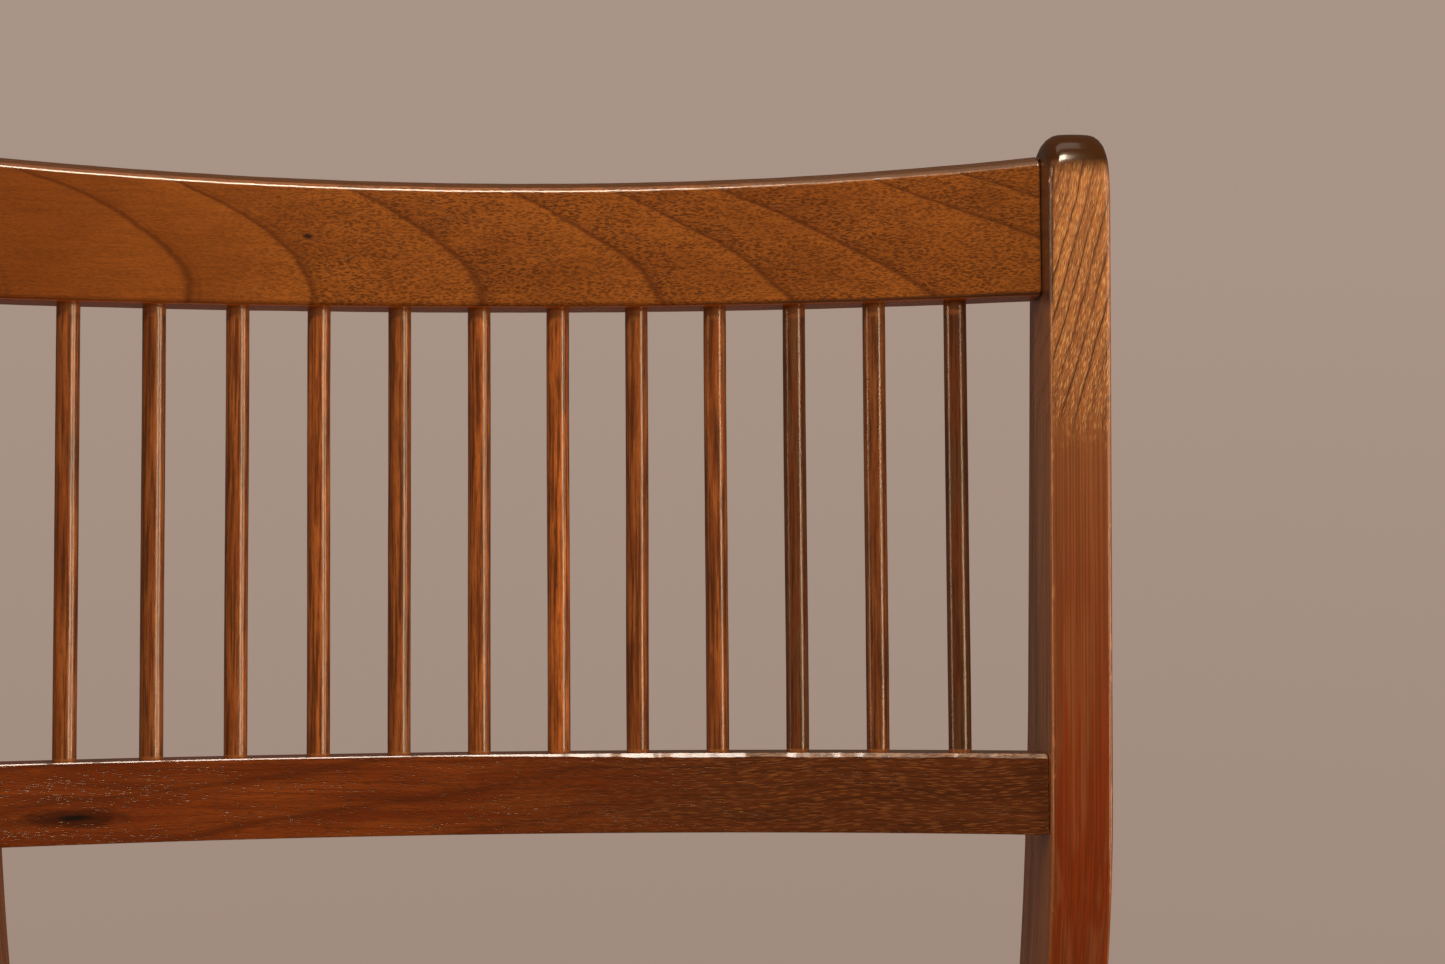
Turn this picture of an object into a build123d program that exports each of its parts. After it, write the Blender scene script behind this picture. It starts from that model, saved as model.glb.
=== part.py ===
from build123d import *
import math
import os

# A side chair with a bowed spindle back. Two rear posts are sawn from boards, a
# crest rail and a lower rail are tenoned between them, and twelve round spindles
# stand in bored sockets. A dished seat board lies on a frame of four aprons, and
# stretchers tie the legs below.
# Lengths are millimetres and angles are degrees. X runs to the right of someone who
# faces the chair, Y to the back and Z up. The origin is on the floor, in the middle.

# Whole chair
chair_depth = 490.0
seat_height = 435.0
width_over_posts = 438.4
width_over_legs = 470.0

# Fits that several joints share
joint_clearance = 0.1
joint_end_gap = 0.5
cut_overrun = 5.0

# Rear posts
post_thickness = 22.3
post_foot_depth = 34.0
post_knee_depth = 50.0
post_top_depth = 37.0
post_foot_inset = 20.2
post_above_crest = 15.62
post_knee_height = 496.0
post_rear_knee_rise = 15.0
post_front_knee_radius = 220.0
post_rear_knee_radius = 420.0
post_rake_angle = 6.8
post_recline_angle = 11.2
post_cap_angle = 10.0
post_cap_front_share = 0.35
post_cap_rear_share = 0.59
post_cap_side_radius = 6.5
post_arris = 1.5

# Back, set out on a leaning plane through the rail ends
back_recline_angle = 14.0
lower_rail_above_seat = 83.0
lower_rail_setback = 4.6
lower_rail_height = 29.5
spindle_show = 171.0
crest_height = 49.3
crest_end_rise = 3.8
crest_flat_length = 250.0
crest_top_chamfer = 2.5
rail_bow = 27.5
rail_thickness = 19.0
rail_arris = 1.0
rail_tenon_thickness = 9.0
rail_tenon_length = 14.0
rail_tenon_shoulder = 6.0

# Spindles
spindle_count = 12
spindle_pitch = 30.3
spindle_diameter = 8.7
spindle_socket_depth = 12.0

# Seat frame
apron_height = 50.0
apron_thickness = 18.0
apron_setback = 3.0
apron_arris_radius = 1.5
apron_tenon_thickness = 8.0
apron_tenon_height = 36.0
front_apron_tenon_length = 18.0
side_apron_front_tenon = 11.0
side_apron_rear_tenon = 18.0
rear_apron_tenon_length = 14.0
rear_apron_setback = 15.0

# Front legs
leg_top_width = 32.0
leg_foot_width = 24.0
leg_arris_radius = 2.0
foot_chamfer = 1.5

# Seat board
seat_thickness = 20.0
seat_overhang = 6.0
seat_rear_overhang = 3.0
seat_front_bow = 12.0
seat_corner_radius = 28.0
seat_top_radius = 6.0
seat_bottom_chamfer = 2.0
seat_notch_clearance = 0.4
seat_dish_depth = 5.0
seat_dish_width = 385.0
seat_dish_length = 265.0
seat_dish_from_front = 205.0

# Stretchers
stretcher_thickness = 16.0
stretcher_height = 24.0
stretcher_arris_radius = 2.5
stretcher_tenon_thickness = 7.0
stretcher_tenon_height = 15.0
side_stretcher_level = 140.0
side_stretcher_front_tenon = 12.0
side_stretcher_rear_tenon = 16.0
cross_stretcher_from_front = 225.0
cross_stretcher_tenon = 8.0
rear_stretcher_level = 205.0
rear_stretcher_tenon = 14.0

# Corner blocks
block_reach = 36.0
block_height = 34.0

# Planes and levels that follow from the sizes
chair_front = -chair_depth / 2
leg_front = chair_front + seat_overhang + seat_front_bow
post_inner_face = width_over_posts / 2 - post_thickness
post_centre = post_inner_face + post_thickness / 2
seat_underside = seat_height - seat_thickness
apron_middle = seat_underside - apron_height / 2


def rise_of(angle):
    """Run per unit of rise of a line that leans by an angle."""
    return math.tan(math.radians(angle))


foot_rear = chair_depth / 2 - post_foot_inset
foot_front = foot_rear - post_foot_depth
front_knee = foot_front - post_knee_height * rise_of(post_rake_angle)


def post_front_above(level):
    """Depth of a post's front face at a level above the knee."""
    return front_knee + (level - post_knee_height) * rise_of(post_recline_angle)


def post_front_below(level):
    """Depth of a post's front face at a level below the knee."""
    return foot_front - level * rise_of(post_rake_angle)


# The rear face keeps its own distances behind the front face at the knee and the top
rear_knee_height = post_knee_height + post_rear_knee_rise
rear_knee = post_front_above(rear_knee_height) + post_knee_depth


def post_rear_below(level):
    """Depth of a post's rear face at a level below the knee."""
    return foot_rear + (rear_knee - foot_rear) * level / rear_knee_height


# The back plane: its X runs along the rails, its Y through them to the back and its
# normal up along the spindles. It lies at the lower edge of the lower rail.
lower_rail_level = seat_height + lower_rail_above_seat
back_lean = math.radians(back_recline_angle)
back_plane = Plane(
    origin=(0, post_front_above(lower_rail_level) + lower_rail_setback, lower_rail_level),
    x_dir=(1, 0, 0),
    z_dir=(0, math.sin(back_lean), math.cos(back_lean)),
)
back_face = Plane(origin=back_plane.origin, x_dir=(1, 0, 0), z_dir=-back_plane.y_dir)
back_up = Axis(back_plane.origin, back_plane.z_dir)
crest_foot = lower_rail_height + spindle_show
crest_top = crest_foot + crest_height
post_top_height = lower_rail_level + crest_top * math.cos(back_lean) + post_above_crest
bow_radius = (post_inner_face**2 + rail_bow**2) / (2 * rail_bow)
bow_centre = rail_bow - bow_radius


def rail_depth(radius, along):
    """Depth in the back plane of an arc round the bow's centre, at a place along it."""
    return bow_centre + math.sqrt(radius**2 - along**2)


rail_end_middle = rail_depth(bow_radius + rail_thickness, post_inner_face) / 2
spindle_places = [
    (along, rail_depth(bow_radius + rail_thickness / 2, along))
    for along in ((index - (spindle_count - 1) / 2) * spindle_pitch for index in range(spindle_count))
]


# Joints: each plane stands where a tenon starts, with its normal along the tenon
def rail_joint(foot, height):
    """Plane of a back rail's right-hand tenon, on the inner face of the post."""
    place = back_plane.from_local_coords((post_inner_face, rail_end_middle, foot + height / 2))
    return Plane(origin=place, x_dir=back_plane.y_dir, z_dir=(1, 0, 0))


def cross_joint(across, depth, level):
    """Plane of the right-hand tenon of a bar that runs across the chair."""
    return Plane(origin=(across, depth, level), x_dir=(0, 1, 0), z_dir=(1, 0, 0))


def run_plane(start, end, level):
    """Plane across a bar that runs level from one plan point to another."""
    run = Vector(end[0] - start[0], end[1] - start[1], 0).normalized()
    return Plane(origin=(start[0], start[1], level), x_dir=(-run.Y, run.X, 0), z_dir=run)


def flipped(plane):
    """The same plane, facing back the way it came."""
    return Plane(origin=plane.origin, x_dir=-plane.x_dir, z_dir=-plane.z_dir)


def left_twin(plane):
    """The mirror image of a right-hand plane on the left of the chair."""
    return Plane(
        origin=(-plane.origin.X, plane.origin.Y, plane.origin.Z),
        x_dir=(-plane.x_dir.X, plane.x_dir.Y, plane.x_dir.Z),
        z_dir=(-plane.z_dir.X, plane.z_dir.Y, plane.z_dir.Z),
    )


# Woodworking on the part in hand. A section is thickness, height and radius of the
# eased edges; a tenon is thickness and height.
def add_bar(plane, section, length):
    """Adds a straight bar with eased long edges, from a plane across it."""
    with BuildSketch(plane) as outline:
        RectangleRounded(*section)
    extrude(outline.sketch, amount=length)


def add_tenon(plane, tenon, length):
    """Adds a tenon that starts at a plane."""
    with BuildSketch(plane) as root:
        Rectangle(*tenon)
    extrude(root.sketch, amount=length)


def cut_mortise(plane, tenon, length):
    """Cuts the mortise for a tenon, with its clearance all round and at its end."""
    with BuildSketch(plane.offset(-cut_overrun)) as mouth:
        Rectangle(*(size + 2 * joint_clearance for size in tenon))
    extrude(mouth.sketch, amount=cut_overrun + length + joint_end_gap, mode=Mode.SUBTRACT)


def add_cross_bar(joint, section, tenon, length):
    """Adds a bar across the chair with a tenon at either end, from its right-hand joint."""
    left_joint = left_twin(joint)
    add_bar(flipped(left_joint), section, 2 * joint.origin.X)
    add_tenon(joint, tenon, length)
    add_tenon(left_joint, tenon, length)


apron_section = (apron_thickness, apron_height, apron_arris_radius)
apron_tenon = (apron_tenon_thickness, apron_tenon_height)
stretcher_section = (stretcher_thickness, stretcher_height, stretcher_arris_radius)
stretcher_tenon = (stretcher_tenon_thickness, stretcher_tenon_height)
crest_tenon = (rail_tenon_thickness, crest_height - 2 * rail_tenon_shoulder)
lower_rail_tenon = (rail_tenon_thickness, lower_rail_height - 2 * rail_tenon_shoulder)

# Rear post as sawn: the side outline with its knee and domed top, before joinery
front_top = post_front_above(post_top_height)
rear_top = front_top + post_top_depth
rear_top_height = post_top_height - post_top_depth * rise_of(post_cap_angle)

with BuildPart() as post_blank:
    with BuildSketch(Plane.YZ.offset(post_inner_face)):
        with BuildLine():
            Polyline(
                (foot_front, 0),
                (front_knee, post_knee_height),
                (front_top, post_top_height),
                (rear_top, rear_top_height),
                (rear_knee, rear_knee_height),
                (foot_rear, 0),
                close=True,
            )
        make_face()
        for corner, radius in (
            ((front_knee, post_knee_height), post_front_knee_radius),
            ((rear_knee, rear_knee_height), post_rear_knee_radius),
            ((front_top, post_top_height), post_cap_front_share * post_top_depth),
            ((rear_top, rear_top_height), post_cap_rear_share * post_top_depth),
        ):
            fillet(vertices().sort_by_distance(corner)[0], radius)
    extrude(amount=post_thickness)

# Front leg as planed: square at the apron, tapered on its two inner faces below it
leg_outer_face = width_over_legs / 2
leg_inner_face = leg_outer_face - leg_top_width
leg_rear_face = leg_front + leg_top_width
leg_taper_start = seat_underside - apron_height


def leg_width_at(level):
    """Width of a front leg at a level of its tapered part."""
    return leg_foot_width + (leg_top_width - leg_foot_width) * level / leg_taper_start


def leg_section(level, width):
    """Face of a front leg's section, which keeps its outer front corner at any width."""
    with BuildSketch(Plane.XY.offset(level)) as section:
        with Locations((leg_outer_face - width / 2, leg_front + width / 2)):
            RectangleRounded(width, width, leg_arris_radius)
    return section.sketch


with BuildPart() as leg_blank:
    taper_top = leg_section(leg_taper_start, leg_top_width)
    foot = leg_section(0, leg_foot_width)
    extrude(taper_top, amount=apron_height)
    loft([foot.face(), taper_top.face()])

# Runs of the bars that join a front leg to a post, from the middle of one to the other
side_apron_start = (
    leg_outer_face - apron_setback - apron_thickness / 2,
    leg_front + leg_top_width / 2,
)
side_apron_end = (post_centre, post_front_below(apron_middle) + post_thickness / 2)
side_apron_plane = run_plane(side_apron_start, side_apron_end, apron_middle)
side_apron_run = math.dist(side_apron_start, side_apron_end)

stretcher_leg_width = leg_width_at(side_stretcher_level)
side_stretcher_start = (
    leg_outer_face - stretcher_leg_width / 2,
    leg_front + stretcher_leg_width / 2,
)
side_stretcher_end = (post_centre, post_front_below(side_stretcher_level) + post_thickness / 2)
side_stretcher_plane = run_plane(side_stretcher_start, side_stretcher_end, side_stretcher_level)
side_stretcher_run = math.dist(side_stretcher_start, side_stretcher_end)

# Tenon planes of the seat frame and the stretchers, all for the right-hand side
front_apron_middle = leg_front + apron_setback + apron_thickness / 2
rear_apron_middle = post_rear_below(apron_middle) - rear_apron_setback - apron_thickness / 2
rear_stretcher_middle = (post_front_below(rear_stretcher_level) + post_rear_below(rear_stretcher_level)) / 2
cross_stretcher_middle = leg_front + cross_stretcher_from_front

crest_joint = rail_joint(crest_foot, crest_height)
lower_rail_joint = rail_joint(0, lower_rail_height)
front_apron_joint = cross_joint(leg_inner_face, front_apron_middle, apron_middle)
rear_apron_joint = cross_joint(post_inner_face, rear_apron_middle, apron_middle)
rear_stretcher_joint = cross_joint(post_inner_face, rear_stretcher_middle, rear_stretcher_level)

# A side bar's shoulders are scribed to the wood that they meet, so each tenon starts
# half a bar's thickness inside the bar and reaches that much further
apron_front_joint = flipped(side_apron_plane.offset((leg_top_width + apron_thickness) / 2))
apron_rear_joint = side_apron_plane.offset(side_apron_run - (post_thickness + apron_thickness) / 2)
apron_front_reach = apron_thickness / 2 + side_apron_front_tenon
apron_rear_reach = apron_thickness / 2 + side_apron_rear_tenon

stretcher_front_joint = flipped(
    side_stretcher_plane.offset((stretcher_leg_width + stretcher_thickness) / 2)
)
stretcher_rear_joint = side_stretcher_plane.offset(
    side_stretcher_run - (post_thickness + stretcher_thickness) / 2
)
stretcher_front_reach = stretcher_thickness / 2 + side_stretcher_front_tenon
stretcher_rear_reach = stretcher_thickness / 2 + side_stretcher_rear_tenon

# Where the cross stretcher meets the middle of a side stretcher
stretcher_slant = (side_stretcher_end[0] - side_stretcher_start[0]) / (
    side_stretcher_end[1] - side_stretcher_start[1]
)
cross_stretcher_end = (
    side_stretcher_start[0] + (cross_stretcher_middle - side_stretcher_start[1]) * stretcher_slant
)
cross_stretcher_joint = cross_joint(
    cross_stretcher_end - stretcher_thickness, cross_stretcher_middle, side_stretcher_level
)
cross_stretcher_reach = stretcher_thickness / 2 + cross_stretcher_tenon

# Rear posts: domed across the top, arrises planed off, mortised for six tenons
cap_lean = math.radians(post_cap_angle)
cap_plane = Plane(
    origin=(post_centre, front_top, post_top_height),
    x_dir=(1, 0, 0),
    z_dir=(0, -math.cos(cap_lean), math.sin(cap_lean)),
)

with BuildPart() as rear_post_right:
    add(post_blank.part)
    side_edges = faces().filter_by(Axis.X).edges()
    chamfer(side_edges.filter_by(lambda edge: edge.center().Z > foot_chamfer), post_arris)
    with BuildSketch(cap_plane):
        with Locations((0, -post_top_height)):
            Rectangle(post_thickness, 2 * post_top_height)
        fillet(vertices().group_by(Axis.Y)[-1], post_cap_side_radius)
    extrude(amount=chair_depth, both=True, mode=Mode.INTERSECT)
    chamfer(faces().sort_by(Axis.Z)[0].edges(), foot_chamfer)
    cut_mortise(crest_joint, crest_tenon, rail_tenon_length)
    cut_mortise(lower_rail_joint, lower_rail_tenon, rail_tenon_length)
    cut_mortise(rear_apron_joint, apron_tenon, rear_apron_tenon_length)
    cut_mortise(apron_rear_joint, apron_tenon, apron_rear_reach)
    cut_mortise(rear_stretcher_joint, stretcher_tenon, rear_stretcher_tenon)
    cut_mortise(stretcher_rear_joint, stretcher_tenon, stretcher_rear_reach)
rear_post_right.part.label = "rear_post_right"

with BuildPart() as rear_post_left:
    mirror(rear_post_right.part, about=Plane.YZ)
rear_post_left.part.label = "rear_post_left"


# Back rails: one bowed plan, made too long at first so that the eased edges run out
# past the posts, then trimmed to stand between them
rail_reach = post_inner_face + cut_overrun


def add_bowed_rail(foot, height):
    """Adds the overlong bowed bar of a rail to the part in hand."""
    with BuildSketch(back_plane.offset(foot)) as plan:
        with Locations((0, bow_centre)):
            Circle(bow_radius + rail_thickness)
            Circle(bow_radius, mode=Mode.SUBTRACT)
        with Locations((0, rail_bow)):
            Rectangle(2 * rail_reach, 2 * (rail_bow + rail_thickness), mode=Mode.INTERSECT)
    extrude(plan.sketch, amount=height)


def trim_between_posts():
    """Cuts the part in hand off flush with the inner faces of the posts."""
    with BuildSketch(back_plane) as between:
        Rectangle(2 * post_inner_face, chair_depth)
    extrude(between.sketch, amount=post_top_height, mode=Mode.INTERSECT)


def cut_spindle_sockets(level):
    """Cuts the row of spindle sockets upwards from a level of the back."""
    with BuildSketch(back_plane.offset(level)) as sockets:
        with Locations(*spindle_places):
            Circle(spindle_diameter / 2 + joint_clearance)
    extrude(sockets.sketch, amount=spindle_socket_depth + joint_end_gap, mode=Mode.SUBTRACT)


# Crest rail: its top edge is level in the middle and sweeps up to the posts
crest_sweep_run = post_inner_face - crest_flat_length / 2
crest_sweep_radius = (crest_sweep_run**2 + crest_end_rise**2) / (2 * crest_end_rise)
crest_end_top = (
    crest_top + crest_sweep_radius - math.sqrt(crest_sweep_radius**2 - (crest_sweep_run + cut_overrun) ** 2)
)

with BuildPart() as crest_rail:
    add_bowed_rail(crest_foot, crest_end_top - crest_foot)
    with BuildSketch(back_face):
        with BuildLine():
            flat = Line((-crest_flat_length / 2, crest_top), (crest_flat_length / 2, crest_top))
            right_sweep = TangentArc(flat @ 1, (rail_reach, crest_end_top), tangent=(1, 0))
            left_sweep = TangentArc(flat @ 0, (-rail_reach, crest_end_top), tangent=(-1, 0))
            Polyline(
                left_sweep @ 1,
                (-rail_reach, crest_foot),
                (rail_reach, crest_foot),
                right_sweep @ 1,
            )
        make_face()
    extrude(amount=2 * (rail_bow + rail_thickness), both=True, mode=Mode.INTERSECT)
    long_edges = edges().filter_by(lambda edge: edge.length > rail_bow + rail_thickness)
    upper_edges = long_edges.filter_by_position(back_up, crest_top, crest_end_top)
    chamfer(upper_edges, crest_top_chamfer)
    chamfer(edges().filter_by(GeomType.CIRCLE).group_by(back_up)[0], rail_arris)
    trim_between_posts()
    for joint in (crest_joint, left_twin(crest_joint)):
        add_tenon(joint, crest_tenon, rail_tenon_length)
    cut_spindle_sockets(crest_foot)
crest_rail.part.label = "crest_rail"

# Lower back rail: the same bow, level along both edges
with BuildPart() as lower_back_rail:
    add_bowed_rail(0, lower_rail_height)
    chamfer(edges().filter_by(GeomType.CIRCLE), rail_arris)
    trim_between_posts()
    for joint in (lower_rail_joint, left_twin(lower_rail_joint)):
        add_tenon(joint, lower_rail_tenon, rail_tenon_length)
    cut_spindle_sockets(lower_rail_height - spindle_socket_depth - joint_end_gap)
lower_back_rail.part.label = "lower_back_rail"

# Spindles: plain round dowels, let into both rails
spindles = []
for index, place in enumerate(spindle_places):
    with BuildPart() as spindle:
        with BuildSketch(back_plane.offset(lower_rail_height - spindle_socket_depth)):
            with Locations(place):
                Circle(spindle_diameter / 2)
        extrude(amount=spindle_show + 2 * spindle_socket_depth)
    spindle.part.label = f"spindle_{index + 1:02d}"
    spindles.append(spindle)

# Front legs: mortised on two faces for the aprons and the side stretcher
with BuildPart() as front_leg_right:
    add(leg_blank.part)
    chamfer(faces().sort_by(Axis.Z)[0].edges(), foot_chamfer)
    cut_mortise(front_apron_joint, apron_tenon, front_apron_tenon_length)
    cut_mortise(apron_front_joint, apron_tenon, apron_front_reach)
    cut_mortise(stretcher_front_joint, stretcher_tenon, stretcher_front_reach)
front_leg_right.part.label = "front_leg_right"

with BuildPart() as front_leg_left:
    mirror(front_leg_right.part, about=Plane.YZ)
front_leg_left.part.label = "front_leg_left"

# Side aprons: scribed to the leg and the post, then tenoned into both
with BuildPart() as side_apron_blank:
    add_bar(side_apron_plane, apron_section, side_apron_run)
    add(leg_blank.part, mode=Mode.SUBTRACT)
    add(post_blank.part, mode=Mode.SUBTRACT)

with BuildPart() as side_apron_right:
    add(side_apron_blank.part)
    add_tenon(apron_front_joint, apron_tenon, apron_front_reach)
    add_tenon(apron_rear_joint, apron_tenon, apron_rear_reach)
side_apron_right.part.label = "side_apron_right"

with BuildPart() as side_apron_left:
    mirror(side_apron_right.part, about=Plane.YZ)
side_apron_left.part.label = "side_apron_left"

# Front and rear aprons: between the legs and between the posts
with BuildPart() as front_apron:
    add_cross_bar(front_apron_joint, apron_section, apron_tenon, front_apron_tenon_length)
front_apron.part.label = "front_apron"

with BuildPart() as rear_apron:
    add_cross_bar(rear_apron_joint, apron_section, apron_tenon, rear_apron_tenon_length)
rear_apron.part.label = "rear_apron"

# Side stretchers: scribed to the leg and the post like the side aprons
with BuildPart() as side_stretcher_blank:
    add_bar(side_stretcher_plane, stretcher_section, side_stretcher_run)
    add(leg_blank.part, mode=Mode.SUBTRACT)
    add(post_blank.part, mode=Mode.SUBTRACT)

with BuildPart() as side_stretcher_right:
    add(side_stretcher_blank.part)
    add_tenon(stretcher_front_joint, stretcher_tenon, stretcher_front_reach)
    add_tenon(stretcher_rear_joint, stretcher_tenon, stretcher_rear_reach)
    cut_mortise(cross_stretcher_joint, stretcher_tenon, cross_stretcher_reach)
side_stretcher_right.part.label = "side_stretcher_right"

with BuildPart() as side_stretcher_left:
    mirror(side_stretcher_right.part, about=Plane.YZ)
side_stretcher_left.part.label = "side_stretcher_left"

# Cross stretcher: halfway along the side stretchers, scribed to both
with BuildPart() as cross_stretcher:
    run_start = cross_joint(-cross_stretcher_end, cross_stretcher_middle, side_stretcher_level)
    add_bar(run_start, stretcher_section, 2 * cross_stretcher_end)
    add(side_stretcher_blank.part, mode=Mode.SUBTRACT)
    mirror(side_stretcher_blank.part, about=Plane.YZ, mode=Mode.SUBTRACT)
    for joint in (cross_stretcher_joint, left_twin(cross_stretcher_joint)):
        add_tenon(joint, stretcher_tenon, cross_stretcher_reach)
cross_stretcher.part.label = "cross_stretcher"

# Rear stretcher: higher than the others, between the posts
with BuildPart() as rear_stretcher:
    add_cross_bar(rear_stretcher_joint, stretcher_section, stretcher_tenon, rear_stretcher_tenon)
rear_stretcher.part.label = "rear_stretcher"

# Corner blocks: three-cornered, glued into the angles of the seat frame, each as far
# past its leg or post along the one apron as along the other
side_apron_slant = (side_apron_end[0] - side_apron_start[0]) / (side_apron_end[1] - side_apron_start[1])


def side_apron_across(depth):
    """Place across the chair of a side apron's middle at a depth."""
    return side_apron_start[0] + (depth - side_apron_start[1]) * side_apron_slant


front_corner_depth = front_apron_middle + apron_thickness / 2
rear_corner_depth = rear_apron_middle - apron_thickness / 2
front_block_end = leg_rear_face + block_reach
rear_block_end = post_front_below(seat_underside) - block_reach

corner_blocks = []
for name, depth, side_end, leg_side in (
    ("front", front_corner_depth, front_block_end, leg_inner_face),
    ("rear", rear_corner_depth, rear_block_end, post_inner_face),
):
    with BuildPart() as block_right:
        with BuildSketch(Plane.XY.offset(seat_underside - block_height)):
            with BuildLine():
                Polyline(
                    (side_apron_across(depth), depth),
                    (leg_side - block_reach, depth),
                    (side_apron_across(side_end) - apron_thickness / 2, side_end),
                    (side_apron_across(side_end), side_end),
                    close=True,
                )
            make_face()
        extrude(amount=block_height)
        add(side_apron_blank.part, mode=Mode.SUBTRACT)
        add(leg_blank.part, mode=Mode.SUBTRACT)
        add(post_blank.part, mode=Mode.SUBTRACT)
    with BuildPart() as block_left:
        mirror(block_right.part, about=Plane.YZ)
    block_right.part.label = f"corner_block_{name}_right"
    block_left.part.label = f"corner_block_{name}_left"
    corner_blocks += [block_right, block_left]

# Seat board: wider in front, bowed along its front edge, notched round the posts and
# hollowed by a shallow dish that is wider than it is long
seat_front_width = width_over_legs + 2 * seat_overhang
seat_rear_width = width_over_posts + 2 * seat_rear_overhang
seat_side_front = chair_front + seat_front_bow
seat_rear_edge = post_rear_below(seat_height) - seat_rear_overhang
seat_dish_middle = chair_front + seat_dish_from_front
seat_dish_foot = seat_height - seat_dish_depth
dish_swing = (seat_dish_width**2 / 4 + seat_dish_depth**2) / (2 * seat_dish_depth)
dish_axis = Axis((0, seat_dish_middle, seat_dish_foot + dish_swing), (0, 1, 0))
notch_inner_face = post_inner_face - seat_notch_clearance
notch_foot = seat_underside - cut_overrun
notch_top = seat_height + cut_overrun
notch_foot_front = post_front_below(notch_foot) - seat_notch_clearance
notch_top_front = post_front_below(notch_top) - seat_notch_clearance

with BuildPart() as seat_board:
    with BuildSketch(Plane.XY.offset(seat_underside)):
        with BuildLine():
            front_edge = ThreePointArc(
                (-seat_front_width / 2, seat_side_front),
                (0, chair_front),
                (seat_front_width / 2, seat_side_front),
            )
            Polyline(
                front_edge @ 1,
                (seat_rear_width / 2, seat_rear_edge),
                (-seat_rear_width / 2, seat_rear_edge),
                front_edge @ 0,
            )
        make_face()
        fillet(vertices().group_by(Axis.Y)[0], seat_corner_radius)
    extrude(amount=seat_thickness)
    fillet(faces().sort_by(Axis.Z)[-1].edges(), seat_top_radius)
    chamfer(faces().sort_by(Axis.Z)[0].edges(), seat_bottom_chamfer)
    for side in (-1, 1):
        with BuildSketch(Plane.YZ.offset(side * notch_inner_face)) as notch:
            with BuildLine():
                Polyline(
                    (notch_foot_front, notch_foot),
                    (notch_top_front, notch_top),
                    (foot_rear, notch_top),
                    (foot_rear, notch_foot),
                    close=True,
                )
            make_face()
        extrude(notch.sketch, amount=side * width_over_legs / 2, mode=Mode.SUBTRACT)
    with BuildSketch(Plane.YZ) as dish:
        with BuildLine():
            hollow = ThreePointArc(
                (seat_dish_middle - seat_dish_length / 2, seat_height),
                (seat_dish_middle, seat_dish_foot),
                (seat_dish_middle + seat_dish_length / 2, seat_height),
            )
            Line(hollow @ 0, hollow @ 1)
        make_face()
    revolve(dish.sketch, axis=dish_axis, mode=Mode.SUBTRACT)
seat_board.part.label = "seat_board"

pieces = [
    rear_post_right,
    rear_post_left,
    crest_rail,
    lower_back_rail,
    *spindles,
    front_leg_right,
    front_leg_left,
    front_apron,
    rear_apron,
    side_apron_right,
    side_apron_left,
    side_stretcher_right,
    side_stretcher_left,
    cross_stretcher,
    rear_stretcher,
    *corner_blocks,
    seat_board,
]

os.makedirs("parts", exist_ok=True)
for piece in pieces:
    export_step(piece.part, f"parts/{piece.part.label}.step")
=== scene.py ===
from math import asin, radians, tan

import bmesh
import bpy
from mathutils import Matrix, Vector, noise


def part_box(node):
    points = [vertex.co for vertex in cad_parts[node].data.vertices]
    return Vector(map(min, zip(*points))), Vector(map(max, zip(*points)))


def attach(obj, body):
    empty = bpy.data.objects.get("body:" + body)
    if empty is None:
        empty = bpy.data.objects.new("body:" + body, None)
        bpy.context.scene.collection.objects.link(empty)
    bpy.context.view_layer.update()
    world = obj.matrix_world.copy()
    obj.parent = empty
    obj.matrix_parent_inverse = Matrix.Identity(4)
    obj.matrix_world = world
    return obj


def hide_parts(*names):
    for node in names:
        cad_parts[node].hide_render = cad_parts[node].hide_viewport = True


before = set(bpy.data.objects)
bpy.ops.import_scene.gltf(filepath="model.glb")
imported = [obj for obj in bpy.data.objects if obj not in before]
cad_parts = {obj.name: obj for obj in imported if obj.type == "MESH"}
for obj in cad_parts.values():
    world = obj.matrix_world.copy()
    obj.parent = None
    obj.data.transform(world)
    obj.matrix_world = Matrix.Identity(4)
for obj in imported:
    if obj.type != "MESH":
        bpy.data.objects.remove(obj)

bpy.context.view_layer.update()

# Rear posts: the two long uprights, each sawn to a knee from one thick board, with
# the grain upright below and slanting out across the front above. The top is domed,
# the arrises are rubbed round, and orange-brown varnish fills only part of the pores.
post_extra_width = 0.0008
post_inner_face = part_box("rear_post_right")[0].x
post_outer_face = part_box("rear_post_right")[1].x + post_extra_width
post_outline = [
    # depth, height and radius of each corner of the side outline
    (0.2248, 0.0, 0.0),
    (0.1908, 0.0, 0.0),
    (0.1317, 0.496, 0.220),
    (0.1871, 0.7743, 0.0150),
    (0.2241, 0.7685, 0.0218),
    (0.1846, 0.511, 0.420),
]
post_corner_segments = 14
post_straight_cuts = 90
post_waver = 0.00012
post_waver_rate = 140.0
post_waver_span = (0.01, 0.75)
post_arris_width = 0.0024
post_arris_segments = 5
post_foot_arris_share = 0.25
post_cap_arris_width = 0.0062
post_cap_from = 0.754
post_cap_full = 0.772
post_cap_crown = 0.0010
post_crown_cuts_from = 0.745
post_crown_from = 0.750
post_crown_height = 0.024
post_crown_cuts = 7
post_knee = 0.4985
post_lean_above = 0.199
post_lean_below = 0.119
post_lean = radians(11)
post_slant_from = 0.669
post_slant_blend = 0.020
post_slant = 0.235
post_slant_fan = 3.6
post_fan_zero = 0.2185
post_red_reach = 0.13
post_dusk_from = 0.728
post_shade_from = 0.708
post_cap_foot = 0.758
post_ring_pitch = 0.0053
post_pores = (0.0028, 0.00062)
post_glints = (0.0036, 0.00060)
post_fibre = (0.018, 0.00045)
post_cloud = (0.060, 0.0045)
post_streak = (0.120, 0.0007)
post_side_grain = (0.080, 0.0022)
post_chips = (0.010, 0.004)
post_relief = 0.00022
post_coat = (0.25, 0.10)
post_gloss = 0.30
post_pale = (0.402, 0.144, 0.039)
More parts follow.
